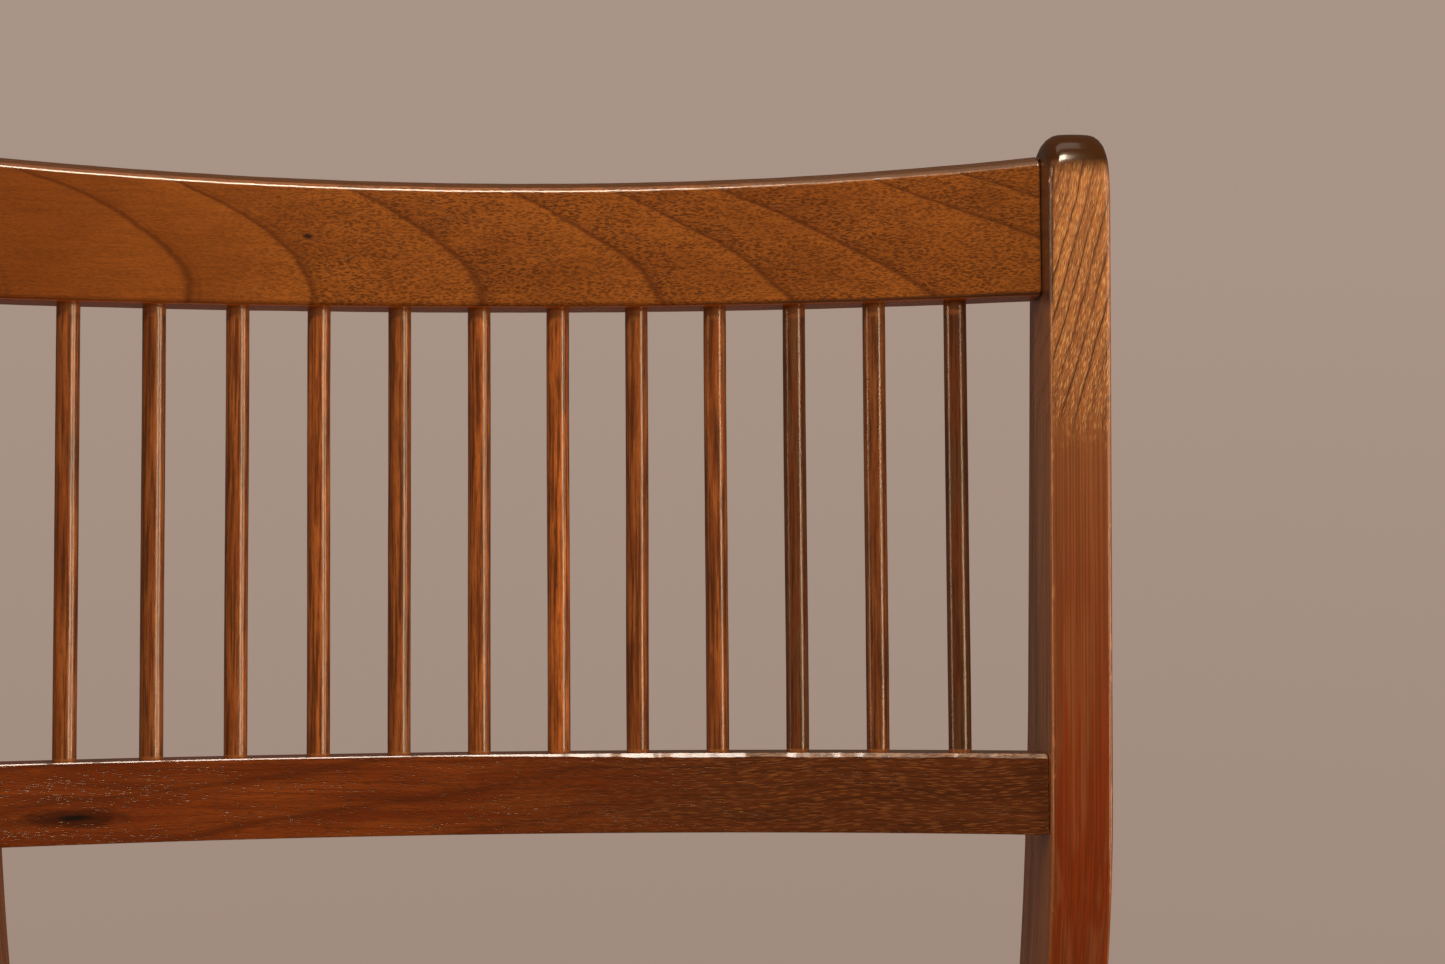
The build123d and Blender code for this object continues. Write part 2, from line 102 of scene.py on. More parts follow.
post_deep = (0.210, 0.066, 0.0200)
post_red = (0.172, 0.0182, 0.0008)
post_dark = (0.040, 0.0105, 0.0026)
post_glint = (0.74, 0.37, 0.130)
post_worn = (0.42, 0.16, 0.055)
post_side_reflection_tone = (0.300, 0.100, 0.0310)
post_side_reflection_deep = (0.170, 0.054, 0.0180)
post_shade_tone = (0.050, 0.018, 0.0095)
post_cap_tone = (0.037, 0.0115, 0.0026)
varnish_gleam = (1.0, 0.84, 0.64, 1.0)
grain_across = (0.0, 0.0, 0.0)
grain_upright = (0.0, radians(90), 0.0)


def add_node(tree, kind, inputs=None, **settings):
    """Adds a shader node; an input is a plain value, or something worked out by a node."""
    node = tree.nodes.new("ShaderNode" + kind)
    for name, value in settings.items():
        setattr(node, name, value)
    for name, value in (inputs or {}).items():
        value = getattr(value, "socket", value)
        if isinstance(value, bpy.types.NodeSocket):
            tree.links.new(value, node.inputs[name])
        else:
            node.inputs[name].default_value = value
    return node


class Number:
    """A number that a material works out at each place; arithmetic on it adds nodes."""

    def __init__(self, socket):
        self.socket = socket
        self.tree = socket.id_data

    def __add__(self, other):
        return calc("ADD", self, other)

    def __sub__(self, other):
        return calc("SUBTRACT", self, other)

    def __rsub__(self, other):
        return calc("SUBTRACT", other, self)

    def __mul__(self, other):
        return calc("MULTIPLY", self, other)

    def __truediv__(self, other):
        return calc("DIVIDE", self, other)

    def __abs__(self):
        return calc("ABSOLUTE", self)


def calc(operation, *values, clamp=False):
    """One step of arithmetic, with at least one number that a material works out."""
    tree = next(value.tree for value in values if isinstance(value, Number))
    inputs = dict(enumerate(values))
    node = add_node(tree, "Math", inputs, operation=operation, use_clamp=clamp)
    return Number(node.outputs[0])


def fade(value, start, span):
    """Goes from 0 at the start to 1 a span further on; a negative span goes downwards."""
    return calc("DIVIDE", value - start, span, clamp=True)


def vector_calc(operation, first, second=(0.0, 0.0, 0.0)):
    """One step of arithmetic on directions or places."""
    return add_node(first.id_data, "VectorMath", {0: first, 1: second}, operation=operation).outputs


def apart(vector):
    """The three numbers of a place or direction."""
    return [Number(o) for o in add_node(vector.id_data, "SeparateXYZ", {0: vector}).outputs]


def joined(first, second, third):
    """A place made of three numbers, the last of them worked out by the material."""
    return add_node(third.tree, "CombineXYZ", {0: first, 1: second, 2: third}).outputs[0]


def mix(factor, under, over):
    """Lays one colour over another by a factor."""
    colours = [c if isinstance(c, bpy.types.NodeSocket) else (*c, 1.0) for c in (under, over)]
    inputs = {0: factor, 6: colours[0], 7: colours[1]}
    return add_node(factor.tree, "Mix", inputs, data_type="RGBA").outputs[2]


def lay(under, over, factor, share):
    """Lays a colour over another by a share of a factor."""
    return mix(factor * share, under, over)


def ramp(factor, *stops, interpolation="EASE"):
    """Turns a number into another that goes through the stops."""
    node = add_node(factor.tree, "ValToRGB", {"Fac": factor})
    node.color_ramp.interpolation = interpolation
    elements = node.color_ramp.elements
    while len(elements) < len(stops):
        elements.new(1.0)
    # All the places come first, because a stop that moves can change places with another.
    for element, (place, value) in zip(elements, stops):
        element.position = place
    for element, (place, value) in zip(elements, stops):
        element.color = (value, value, value, 1.0)
    return Number(node.outputs["Color"])


def contrast(factor, low, high):
    """Goes softly from 0 where a number is low to 1 where it is high."""
    return ramp(factor, (low, 0.0), (high, 1.0))


def new_material(name, turn, origin=(0.0, 0.0, 0.0)):
    """An empty material, and places on its board in metres: X along the grain."""
    material = bpy.data.materials.new(name)
    material.use_nodes = True
    tree = material.node_tree
    tree.nodes.clear()
    places = add_node(tree, "TexCoord").outputs["Object"]
    inputs = {"Vector": places, "Location": [-c for c in origin]}
    inputs = {"Vector": add_node(tree, "Mapping", inputs).outputs[0], "Rotation": turn}
    return material, add_node(tree, "Mapping", inputs).outputs[0]


def drawn_out(places, size):
    """Places measured in grain sizes, along and across the grain."""
    along, across = size
    scale = (1 / along, 1 / across, 1 / across)
    return add_node(places.id_data, "Mapping", {"Vector": places, "Scale": scale}).outputs[0]


def grain(places, size, detail=3.0, distortion=0.0, roughness=0.5):
    """Noise drawn out along the grain; its size is a length along it and a width across."""
    inputs = {
        "Vector": drawn_out(places, size),
        "Scale": 1.0,
        "Detail": detail,
        "Roughness": roughness,
        "Distortion": distortion,
    }
    return Number(add_node(places.id_data, "TexNoise", inputs).outputs[0])


def flecks(places, size, reach, soft, sway):
    """Short dashes of a grain size that lie along the swaying grain, for dark open pores and for
    painted glints.
    """
    length = size[0]
    bend = (grain(places, (length * 3, length * 1.5), detail=1.0) - 0.5) * sway
    places = vector_calc("ADD", places, joined(0.0, bend, bend))[0]
    inputs = {"Vector": drawn_out(places, size), "Scale": 1.0}
    cells = Number(add_node(places.id_data, "TexVoronoi", inputs).outputs["Distance"])
    return calc("DIVIDE", reach - cells, soft, clamp=True)


def through_ring(place, pitch):
    """How far a place lies through its growth ring, from 0 to 1."""
    return calc("FRACT", place / pitch)


def facing(material, turn):
    """Which way the surface faces in the board's own directions: three numbers, -1 to 1."""
    tree = material.node_tree
    inputs = {"Vector": add_node(tree, "TexCoord").outputs["Normal"], "Rotation": turn}
    return apart(add_node(tree, "Mapping", inputs, vector_type="NORMAL").outputs[0])


def arris_wear(material, turn):
    """How far the surface has turned away from the flat faces, which is where hands rub."""
    across, along, up = (abs(side) for side in facing(material, turn))
    return 1.0 - calc("MAXIMUM", calc("MAXIMUM", across, along), up)


def varnish(material, colour, relief, depth, roughness, coat, gloss):
    """Finishes a wood: colour and relief under a thin coat of some weight and roughness."""
    tree = material.node_tree
    bump = add_node(tree, "Bump", {"Height": relief, "Strength": 0.6, "Distance": depth})
    inputs = {
        "Base Color": colour,
        "Roughness": roughness,
        "Specular IOR Level": gloss,
        "Specular Tint": varnish_gleam,
        "Coat Weight": coat[0],
        "Coat Roughness": coat[1],
        "Normal": bump.outputs[0],
    }
    surface = add_node(tree, "BsdfPrincipled", inputs)
    add_node(tree, "OutputMaterial", {"Surface": surface.outputs[0]})


def post_wood():
    """Open-grained varnished wood: slanting ring lines above, fine upright grain below."""
    material, places = new_material("post_wood", grain_upright)
    height, depth, side = apart(places)
    over_knee = height - post_knee
    level = calc("MAXIMUM", over_knee, 0.0) * -post_lean_above + depth
    level = calc("MINIMUM", over_knee, 0.0) * post_lean_below + level
    straight = joined(height, level, side)

    across = abs(side)
    fan = (post_fan_zero - across) * post_slant_fan
    leaning = calc("MAXIMUM", height - post_slant_from, 0.0) * (fan + post_slant) - across
    leaning = grain(places, (0.045, 0.012), detail=2.0) * 0.0035 + leaning
    slanted = joined(height, level, leaning)

    ragged = grain(slanted, (0.030, 0.002)) * 0.030 + (height - 0.015)
    upper = fade(ragged, post_slant_from - post_slant_blend / 2, post_slant_blend)
    lower = fade(height, post_slant_from, -post_red_reach)
    dusk = fade(height, post_dusk_from, -0.050)
    cap = fade(height, post_cap_foot, 0.006)
    sideways = facing(material, grain_across)[0]
    beside = fade(abs(sideways), 0.45, 0.30)
    inwards = sideways * calc("SIGN", side)
    shade = fade(height, post_shade_from, 0.006) * fade(inwards, 0.35, 0.2)

    ring = through_ring(depth * 0.30 + leaning, post_ring_pitch)
    line_stops = ((0.0, 0.90), (0.05, 0.40), (0.14, 0.05), (0.66, 0.0), (0.88, 0.25))
    line = ramp(ring, *line_stops, (0.955, 1.0))
    patchy = grain(slanted, (0.035, 0.006), detail=2.0)
    line = line * ramp(patchy, (0.32, 0.45), (0.55, 1.0))
    pores = flecks(slanted, post_pores, reach=0.46, soft=0.18, sway=0.0003)
    glints = flecks(slanted, post_glints, reach=0.44, soft=0.20, sway=0.0003)
    fibre = grain(slanted, post_fibre, detail=4.0, roughness=0.65)
    cloud = grain(slanted, post_cloud, detail=1.5, distortion=0.4)
    front = vector_calc("MULTIPLY", straight, (1.0, 0.2, 1.0))[0]
    streak = grain(front, post_streak, detail=2.0)
    ring_amount = line * (upper * 0.86 + 0.05)
    pore_amount = pores * (upper * 0.42 + 0.05)

    base = mix(upper, post_deep, post_pale)
    base = lay(base, post_deep, dusk, 0.60)
    base = lay(base, post_red, lower, 0.85)
    base = lay(base, post_deep, contrast(cloud, 0.40, 0.62), 0.50)
    base = lay(base, post_dark, contrast(streak, 0.42, 0.60), (1.0 - upper) * 0.26 + 0.10)
    base = lay(base, post_dark, contrast(fibre, 0.42, 0.66), upper * 0.22 + 0.05)
    # Painted highlight: bright glints along the slanting grain of the upper front.
    base = lay(base, post_glint, glints * upper, 0.45)
    base = mix(ring_amount, base, post_dark)
    base = mix(pore_amount, base, post_dark)

    # The side faces keep their own grain, in a greyer tone that is a painted reflection of the
    # wall.
    side_grain = grain(straight, post_side_grain, detail=4.0, roughness=0.6)
    side_grain_and_reflection = mix(contrast(side_grain, 0.36, 0.66), post_side_reflection_tone, post_side_reflection_deep)
    side_grain_and_reflection = lay(side_grain_and_reflection, post_dark, line, 0.30)
    side_grain_and_reflection = lay(side_grain_and_reflection, post_dark, pores, 0.22)
    base = lay(base, side_grain_and_reflection, beside, 0.90)
    base = lay(base, post_shade_tone, shade, 0.85)
    base = mix(cap, base, post_cap_tone)

    wear = contrast(arris_wear(material, (post_lean, 0.0, 0.0)), 0.05, 0.22)
    chips = contrast(grain(places, post_chips, detail=4.0), 0.54, 0.64)
    base = lay(base, post_worn, wear * chips * (1.0 - cap), 0.6)

    relief = (fibre * 0.30 - pore_amount - ring_amount * 0.5) * (1.0 - cap)
    rough = cap * -0.12 + (upper * 0.08 + 0.22)
    varnish(material, base, relief, post_relief, rough, post_coat, post_gloss)
    return material


def ease(shape, parts, width, segments, affect="EDGES"):
    """Rounds edges or corners of a shape."""
    bmesh.ops.bevel(
        shape,
        geom=parts,
        offset=width,
        offset_type="OFFSET",
        segments=segments,
        profile=0.5,
        affect=affect,
        material=-1,
    )


def finished_piece(name, shape, material, weighted=True):
    """Makes an object of a shape, smooth, with its material."""
    for face in shape.faces:
        face.smooth = True
    mesh = bpy.data.meshes.new(name)
    shape.to_mesh(mesh)
    shape.free()
    piece = bpy.data.objects.new(name, mesh)
    bpy.context.collection.objects.link(piece)
    piece.data.materials.append(material)
    if weighted:
        shading = piece.modifiers.new("even shading", "WEIGHTED_NORMAL")
        shading.keep_sharp = True
    return piece


def side_outline(inner):
    """The side outline as one face, with rounded corners and slightly wavering long runs."""
    shape = bmesh.new()
    places = [Vector((inner, depth, height)) for depth, height, radius in post_outline]
    shape.faces.new([shape.verts.new(place) for place in places])
    for index, (depth, height, radius) in enumerate(post_outline):
        if radius:
            before = places[index - 1] - places[index]
            after = places[(index + 1) % len(places)] - places[index]
            turn = radians(180) - before.angle(after)
            corner = min(shape.verts, key=lambda v: (v.co - places[index]).length)
            setback = radius * tan(turn / 2)
            ease(shape, [corner], setback, post_corner_segments, affect="VERTICES")
    long_edges = [e for e in shape.edges if e.calc_length() > 0.1]
    bmesh.ops.subdivide_edges(shape, edges=long_edges, cuts=post_straight_cuts)
    for v in shape.verts:
        if post_waver_span[0] < v.co.z < post_waver_span[1]:
            v.co.y += post_waver * noise.noise(v.co * post_waver_rate)
    return shape


def weigh_arrises(shape, inner, outer):
    """Marks how much of the full rounding each edge gets: most round the top."""
    weight = shape.edges.layers.float.new("bevel_weight_edge")
    for edge in shape.edges:
        runs_across = abs(edge.verts[0].co.x - edge.verts[1].co.x) > 0.001
        on_side = all(min(abs(v.co.x - inner), abs(v.co.x - outer)) < 1e-5 for v in edge.verts)
        height = (edge.verts[0].co.z + edge.verts[1].co.z) / 2
        if on_side and not runs_across:
            blend = (height - post_cap_from) / (post_cap_full - post_cap_from)
            blend = min(max(blend, 0.0), 1.0)
            width = post_arris_width + (post_cap_arris_width - post_arris_width) * blend
            edge[weight] = width / post_cap_arris_width
        elif runs_across and height < 0.001 and len(edge.link_faces) == 2:
            if edge.calc_face_angle() > 1:
                edge[weight] = post_foot_arris_share


def crown_cap(shape, inner, outer):
    """Lets the top fall away a little towards both sides."""
    upper = [e for e in shape.edges if e.verts[0].co.z > post_crown_cuts_from]
    wide = [e for e in upper if abs(e.verts[0].co.x - e.verts[1].co.x) > 0.008]
    bmesh.ops.subdivide_edges(shape, edges=wide, cuts=post_crown_cuts, use_grid_fill=True)
    for v in shape.verts:
        out = (2 * v.co.x - inner - outer) / (outer - inner)
        height = min(max((v.co.z - post_crown_from) / post_crown_height, 0.0), 1.0)
        v.co.z -= post_cap_crown * out * out * height
        v.co.y += post_cap_crown * out * out * height * (1 if v.co.y < 0.2 else -0.5)


def round_arrises(shape):
    """Rounds the weighed edges of a shape, by way of a rough piece that is thrown away."""
    mesh = bpy.data.meshes.new("rough_post")
    shape.to_mesh(mesh)
    rough = bpy.data.objects.new("rough_post", mesh)
    bpy.context.collection.objects.link(rough)
    rounding = rough.modifiers.new("rounded arrises", "BEVEL")
    rounding.limit_method = "WEIGHT"
    rounding.width = post_cap_arris_width
    rounding.segments = post_arris_segments
    rounding.use_clamp_overlap = False
    finished = rough.evaluated_get(bpy.context.evaluated_depsgraph_get())
    rounded = bpy.data.meshes.new_from_object(finished)
    shape.clear()
    shape.from_mesh(rounded)
    bpy.data.objects.remove(rough)
    bpy.data.meshes.remove(mesh)
    bpy.data.meshes.remove(rounded)


post_finish = post_wood()
for side, inner, outer in (
    ("right", post_inner_face, post_outer_face),
    ("left", -post_inner_face, -post_outer_face),
):
    shape = side_outline(inner)
    grown = bmesh.ops.extrude_face_region(shape, geom=shape.faces[:])
    moved = [g for g in grown["geom"] if isinstance(g, bmesh.types.BMVert)]
    bmesh.ops.translate(shape, verts=moved, vec=(outer - inner, 0.0, 0.0))
    bmesh.ops.recalc_face_normals(shape, faces=shape.faces[:])
    weigh_arrises(shape, inner, outer)
    round_arrises(shape)
    crown_cap(shape, inner, outer)
    post = finished_piece(f"sawn_post_{side}", shape, post_finish)
    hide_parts(f"rear_post_{side}")
    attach(post, "root")

# Crest rail: the broad top rail, sawn bowed from a thick board and tenoned between the
# posts. Its top edge sweeps up at both ends, its arrises are rubbed round, and the
# flat-sawn front shows wide growth rings that arc down to the right.
back_lean = radians(14)
back_origin = Vector((0.0, 0.1406, 0.5180))
back_turn = (back_lean, 0.0, 0.0)
rail_bow = 0.0275
rail_thickness = 0.019
rail_steps = 300
bow_radius = (post_inner_face**2 + rail_bow**2) / (2 * rail_bow)
bow_centre = Vector((0.0, rail_bow - bow_radius, 0.0))
crest_foot = 0.2000
crest_top = 0.2455
crest_end_rise = 0.0048
crest_crown = 0.0036
crest_top_arris = 0.0017
crest_foot_arris = 0.0022
crest_end_arris = 0.0007
crest_askew_right = 0.0011
crest_askew_left = 0.0004
crest_waver = 0.00010
crest_height = 0.050
crest_rings = (
    # where each growth ring starts along the rail's foot, from left to right
    -0.262, -0.190, -0.1218, -0.0768, -0.0129, 0.0568,
    0.1062, 0.1602, 0.2502, 0.302, 0.372,
)
crest_pores = (0.0023, 0.00062)
crest_small_pores = (0.0014, 0.00048)
crest_fibre = (0.020, 0.0006)
crest_cloud = (0.045, 0.014)
crest_relief = 0.00004
crest_coat = (0.22, 0.08)
crest_gloss = 0.34
crest_light = (0.255, 0.070, 0.0090)
crest_deep = (0.155, 0.038, 0.0050)
crest_red = (0.135, 0.029, 0.0036)
crest_dark = (0.050, 0.0125, 0.0020)
crest_line = (0.060, 0.013, 0.0022)
crest_top_painted_shade = (0.070, 0.025, 0.0080)
crest_underside_painted_light = (0.400, 0.080, 0.0050)
pin_knot = Vector((-0.0788, 0.0232, 0.2263))
pin_knot_size = 0.0016
pin_knot_tone = (0.012, 0.005, 0.003)


def in_back(place):
    """Matrix that sets a shape made square to the axes into the leaning back."""
    return Matrix.Translation(place) @ Matrix.Rotation(-back_lean, 4, "X")


def bowed_bar(foot, top, crown=0.0):
    """A bowed bar, square to the axes: its section, crowned or flat on top, swung round."""
    shape = bmesh.new()
    rear = rail_bow + rail_thickness
    corners = ((rail_bow, foot), (rear, foot), (rear, top), (rail_bow, top))
    face = shape.faces.new([shape.verts.new((0.0, *corner)) for corner in corners])
    if crown:
        top_edge = [e for e in face.edges if all(v.co.z > top - 1e-6 for v in e.verts)]
        bmesh.ops.subdivide_edges(shape, edges=top_edge, cuts=9)
        for v in shape.verts:
            if v.co.z > top - 1e-6:
                out = (v.co.y - rail_bow) / rail_thickness * 2 - 1
                v.co.z += crown * (1 - out * out)
    swing = asin(post_inner_face / bow_radius) + 0.02
    start = Matrix.Rotation(swing, 3, "Z")
    bmesh.ops.rotate(shape, cent=bow_centre, matrix=start, verts=shape.verts[:])
    bmesh.ops.spin(
        shape,
        geom=shape.faces[:] + shape.edges[:] + shape.verts[:],
        cent=bow_centre,
        axis=(0, 0, -1),
        angle=2 * swing,
        steps=rail_steps,
        use_duplicate=False,
    )
    bmesh.ops.remove_doubles(shape, verts=shape.verts[:], dist=1e-7)
    for side in (-1, 1):
        bmesh.ops.bisect_plane(
            shape,
            geom=shape.verts[:] + shape.edges[:] + shape.faces[:],
            plane_co=(side * (post_inner_face - 0.0001), 0.0, 0.0),
            plane_no=(side, 0.0, 0.0),
            clear_outer=True,
        )
    bmesh.ops.holes_fill(shape, edges=[e for e in shape.edges if e.is_boundary])
    bmesh.ops.recalc_face_normals(shape, faces=shape.faces[:])
    return shape


def behind_front(place):
    """How far a place lies behind the rail's bowed front face."""
    return (place.xy - bow_centre.xy).length - bow_radius


def ease_along(shape, level, face_depth, width, segments):
    """Rounds a rail's long arris on its front or rear face, near a height."""
    found = []
    for edge in shape.edges:
        first, second = (v.co for v in edge.verts)
        middle = (first + second) / 2
        along = abs(first.x - second.x) > 1e-5
        near_face = abs(behind_front(middle) - face_depth) < 0.0006
        if along and near_face and abs(middle.z - level(middle.x)) < 0.0004:
            found.append(edge)
    ease(shape, found, width, segments)


def ease_ends(shape, width):
    """Rounds the outline of a rail's two ends, so that a fine groove shows at the posts."""
    edges = []
    for edge in shape.edges:
        if all(abs(abs(v.co.x) - post_inner_face) < 0.0003 for v in edge.verts):
            edges.append(edge)
    ease(shape, edges, width, 2)


def crest_edge(across):
    """Height of the crest rail's top front arris at a place across the chair."""
    return crest_top + crest_end_rise * (across / post_inner_face) ** 2


def depth_in_rail(along, depth):
    """Depth behind the rail's bowed front, so that fine grain follows the bow unbroken."""
    return along * along * (0.5 / bow_radius) + depth - rail_bow


def from_knot(places, knot, squash):
    """Distance from a knot's middle, measured so that the knot is wider than high."""
    away = vector_calc("SUBTRACT", places, knot)[0]
    away = vector_calc("MULTIPLY", away, squash)[0]
    return Number(vector_calc("LENGTH", away)["Value"])


def crest_year(along, behind, height, places):
    """How far each place lies through its growth ring: wide rings that arc to the right."""
    share = (height - crest_foot) / crest_height
    bend = along * along + (along * 0.23 + (share * 0.072 + 0.0019))
    ring = behind * 0.9 + (share * bend + along)
    ring = (grain(places, (0.050, 0.020), detail=2.0) - 0.5) * 0.008 + ring
    ring = (grain(places, (0.006, 0.0022), detail=2.0) - 0.5) * 0.0022 + ring

    start, end = crest_rings[0], crest_rings[-1]
    count = len(crest_rings) - 1
    stops = [((place - start) / (end - start), n / count) for n, place in enumerate(crest_rings)]
    years = ramp((ring - start) / (end - start), *stops, interpolation="LINEAR")
    return calc("FRACT", years * count)


def crest_wood():
    """Flat-sawn varnished wood: arcs of growth rings and rows of open pores beside them."""
    material, places = new_material("crest_wood", back_turn, back_origin)
    along, depth, height = apart(places)
    behind = depth_in_rail(along, depth)
    year = crest_year(along, behind, height, places)
    line_stops = ((0.0, 1.0), (0.022, 0.55), (0.045, 0.15), (0.062, 0.42), (0.090, 0.06))
    line = ramp(year, *line_stops, (0.950, 0.0), (0.990, 1.0))
    late = ramp(year, (0.0, 1.0), (0.12, 0.85), (0.50, 0.35), (0.85, 0.0), (0.99, 0.0))
    pale = ramp(year, (0.0, 0.0), (0.55, 0.0), (0.90, 1.0), (0.975, 0.8), (1.0, 0.0))

    smooth_part = fade(along, -0.115, 0.05)
    shifted = grain(places, (0.012, 0.005), detail=2.0) * 0.0035 + height
    rippled = joined(along, behind, shifted)
    pores = flecks(rippled, crest_pores, reach=0.52, soft=0.16, sway=0.0005)
    small_pores = flecks(rippled, crest_small_pores, reach=0.50, soft=0.20, sway=0.0003)
    fibre = grain(rippled, crest_fibre, roughness=0.6)
    cloud = grain(places, crest_cloud, distortion=0.5)
    thick = ramp(grain(places, (0.012, 0.006), detail=2.0), (0.30, 0.70), (0.55, 1.0))
    dash = calc("MAXIMUM", pores, small_pores * 0.70) * thick
    often = (late * 0.20 + 0.64) * (smooth_part * 0.62 + 0.38)
    pore_amount = calc("MULTIPLY", dash, often, clamp=True)

    base = mix(ramp(cloud, (0.35, 0.0), (0.70, 0.55)), crest_light, crest_deep)
    base = lay(base, crest_light, pale, 0.45)
    base = lay(base, crest_deep, late, 0.30)
    base = lay(base, crest_red, fade(along, -0.075, -0.10), 0.72)
    base = lay(base, crest_dark, contrast(fibre, 0.40, 0.68), 0.25)
    base = mix(pore_amount, base, crest_dark)
    base = lay(base, crest_line, line, 0.68)

    upward = facing(material, back_turn)[2]
    worn = contrast(arris_wear(material, back_turn), 0.06, 0.12)
    dulled_and_shaded_right = fade(along, 0.060, 0.05) * worn
    dulled_left = fade(along, -0.105, -0.035) * worn
    # Painted shade: the worn arris at the right end is darkened, and it is made rougher below.
    base = lay(base, crest_top_painted_shade, dulled_and_shaded_right, 0.75)
    # Painted shade: the crowned top, which faces up, is painted darker.
    base = lay(base, crest_top_painted_shade, fade(upward, 0.60, 0.15), 0.90)
    # Painted light: the underside, which faces down, is painted a bright red-orange that stands in
    # for light thrown up from below.
    base = lay(base, crest_underside_painted_light, fade(upward, -0.75, -0.15), 0.75)
    knot = from_knot(places, pin_knot, (0.55, 0.05, 1.0)) / pin_knot_size
    base = lay(base, pin_knot_tone, ramp(knot, (0.25, 1.0), (0.80, 0.0)), 0.9)

    relief = fibre * 0.3 - pore_amount
    rough = dulled_left * 0.12 + (dulled_and_shaded_right * 0.30 + 0.20)
    varnish(material, base, relief, crest_relief, rough, crest_coat, crest_gloss)
    return material


shape = bowed_bar(crest_foot, crest_top, crown=crest_crown)
for v in shape.verts:
    if v.co.z > (crest_foot + crest_top) / 2:
        v.co.z += crest_edge(v.co.x) - crest_top
ease_along(shape, crest_edge, 0.0, crest_top_arris, 4)
ease_along(shape, crest_edge, rail_thickness, crest_top_arris, 2)
ease_along(shape, lambda across: crest_foot, 0.0, crest_foot_arris, 3)
ease_along(shape, lambda across: crest_foot, rail_thickness, crest_foot_arris, 3)
ease_ends(shape, crest_end_arris)
for v in shape.verts:
    aslant = v.co.x / post_inner_face
    v.co.z += crest_askew_right * aslant * aslant if aslant > 0 else crest_askew_left * aslant
    v.co.z += crest_waver * noise.noise(v.co * 90.0)
    v.co.y += crest_waver * noise.noise(v.co * 120.0 + Vector((5.0, 0.0, 0.0)))
bmesh.ops.transform(shape, matrix=in_back(back_origin), verts=shape.verts[:])
crest = finished_piece("bowed_crest", shape, crest_wood())
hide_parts("crest_rail")
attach(crest, "root")

# Lower back rail: the same bow as the crest, much narrower. Its top front arris is
# planed off and worn through the varnish in places, and a dark knot sits near its
# left end.
lower_top = 0.0299
lower_planing = 0.0015
lower_planed_widths = (0.18, 0.76)
lower_ragged = 0.16
lower_arris = 0.0006
lower_waver = 0.00006
lower_ring_pitch = 0.0165
lower_streak = (0.060, 0.0010)
lower_fibre = (0.010, 0.00032)
lower_cloud = (0.060, 0.006)
lower_pores = (0.0038, 0.00058)
lower_glints = (0.0062, 0.00062)
lower_patches = (0.006, 0.0012)
lower_relief = 0.00010
lower_coat = (0.35, 0.08)
lower_gloss = 0.34
lower_light = (0.175, 0.034, 0.0036)
lower_red = (0.115, 0.0185, 0.0018)
lower_deep = (0.062, 0.011, 0.0014)
lower_brown = (0.105, 0.0245, 0.0045)
lower_painted_glint = (0.290, 0.095, 0.0230)
lower_dark = (0.036, 0.0090, 0.0018)
lower_worn = (0.30, 0.125, 0.050)
rail_knot = Vector((-0.1607, 0.0, 0.0098))
rail_knot_reach = 0.016
rail_knot_size = 0.0045
rail_knot_eye = 0.0018
rail_knot_tone = (0.024, 0.0045, 0.0010)
rail_eye_tone = (0.006, 0.003, 0.002)


def lower_rail_wood():
    """Varnished wood, red-brown with a knot on the left and browner on the right."""
    material, places = new_material("lower_rail_wood", back_turn, back_origin)
    along, depth, height = apart(places)

    knot = from_knot(places, rail_knot, (0.21, 0.02, 1.0))
    ragged_knot = knot * (grain(places, (0.010, 0.0015)) * 1.2 + 0.4)
    halo = ramp(ragged_knot / rail_knot_size, (0.05, 1.0), (0.50, 0.82), (1.0, 0.0))
    eye = ramp(ragged_knot / rail_knot_eye, (0.25, 1.0), (0.95, 0.0))

    above_eye = calc("SIGN", height - rail_knot.z)
    push = ramp(knot / rail_knot_reach, (0.0, 1.0), (1.0, 0.0)) * -0.0030
    bowed = push * above_eye + height
    bowed = grain(places, (0.09, 0.02), detail=2.0) * 0.008 + bowed
    bowed = depth * 0.15 + bowed
    ring = through_ring(along * -0.16 + bowed + 0.0035, lower_ring_pitch)
    line = ramp(ring, (0.0, 0.5), (0.10, 0.2), (0.5, 0.0), (0.84, 0.15), (0.95, 1.0))

    flowing = joined(along, depth_in_rail(along, depth), bowed)
    streak = grain(flowing, lower_streak)
    fibre = grain(flowing, lower_fibre, roughness=0.6)
    cloud = grain(flowing, lower_cloud, distortion=0.4)
    pores = flecks(flowing, lower_pores, reach=0.44, soft=0.14, sway=0.0004)
    glints = flecks(flowing, lower_glints, reach=0.42, soft=0.13, sway=0.0004)
    browner = calc("ADD", along * 9.0, cloud * 1.6 - 0.55, clamp=True)

    base = mix(contrast(cloud, 0.36, 0.66), lower_red, lower_light)
    base = lay(base, lower_deep, contrast(streak, 0.42, 0.66), 0.45)
    base = lay(base, lower_deep, line, 0.60)
    brown = mix(ramp(streak, (0.30, 0.10), (0.70, 0.75)), lower_brown, lower_dark)
    # Painted highlight: golden glints along the grain of the browner right part.
    brown = lay(brown, lower_painted_glint, glints, 0.32)
    base = mix(browner, base, brown)
    base = lay(base, lower_dark, contrast(fibre, 0.45, 0.70), 0.30)
    base = lay(base, lower_dark, pores, 0.40)
    base = lay(base, rail_knot_tone, halo, 0.92)
    base = lay(base, rail_eye_tone, eye, 0.95)
    # Painted shade: the top face, which faces up, is darkened.
    base = lay(base, lower_dark, fade(facing(material, back_turn)[2], 0.90, 0.08), 0.35)

    wear = contrast(arris_wear(material, back_turn), 0.06, 0.12)
    rubbed = wear * contrast(grain(places, lower_patches, detail=4.0), 0.50, 0.60)
    base = lay(base, lower_worn, rubbed, 0.45)

    relief = rubbed * 0.25 + (pores * -0.6 + fibre * 0.5)
    rough = wear * 0.13 + 0.23
    varnish(material, base, relief, lower_relief, rough, lower_coat, lower_gloss)
    return material


